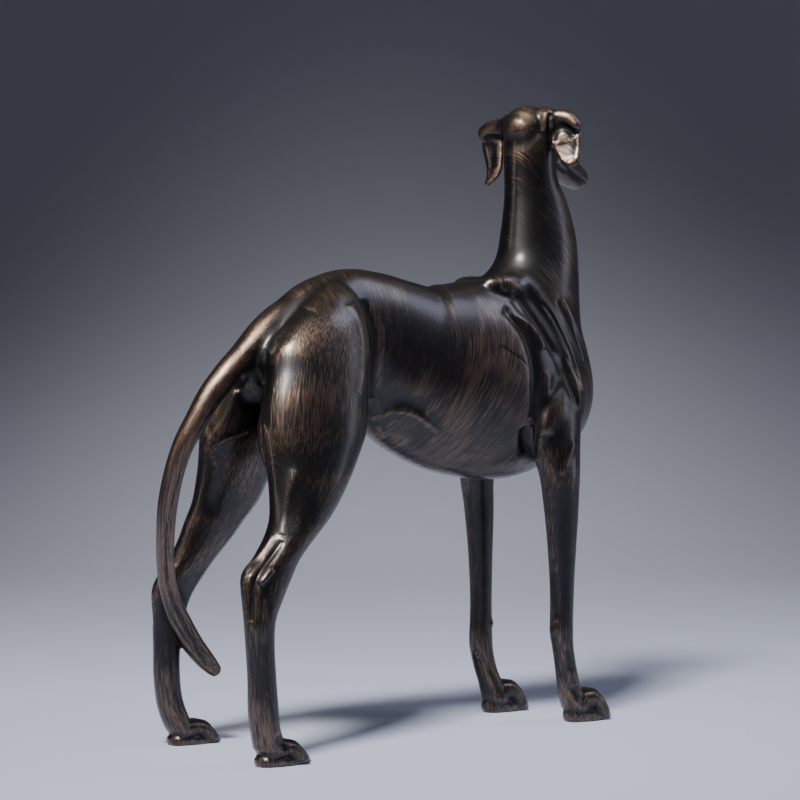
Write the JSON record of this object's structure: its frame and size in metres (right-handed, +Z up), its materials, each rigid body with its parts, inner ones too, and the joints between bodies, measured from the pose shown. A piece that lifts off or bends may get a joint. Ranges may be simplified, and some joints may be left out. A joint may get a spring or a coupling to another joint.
{
  "type": "greyhound statue",
  "caption": "Standing greyhound statue with head held high, ears folded and a long tail lying against the hock, cast in one piece with a dark brushed bronze finish.",
  "frame": {"origin": "on the surface it stands on, below the middle of the statue's overall length and width", "axes": "+Z up; +X the way the dog faces; +Y to the dog's left"},
  "size_m": [0.3104, 0.107, 0.3515],
  "materials": {
    "dark_bronze": "dark brown patina, brushed through to copper on the high places, under a glossy wax"
  },
  "bodies": {
    "root": {"greyhound": "dark_bronze"}
  },
  "joints": []
}
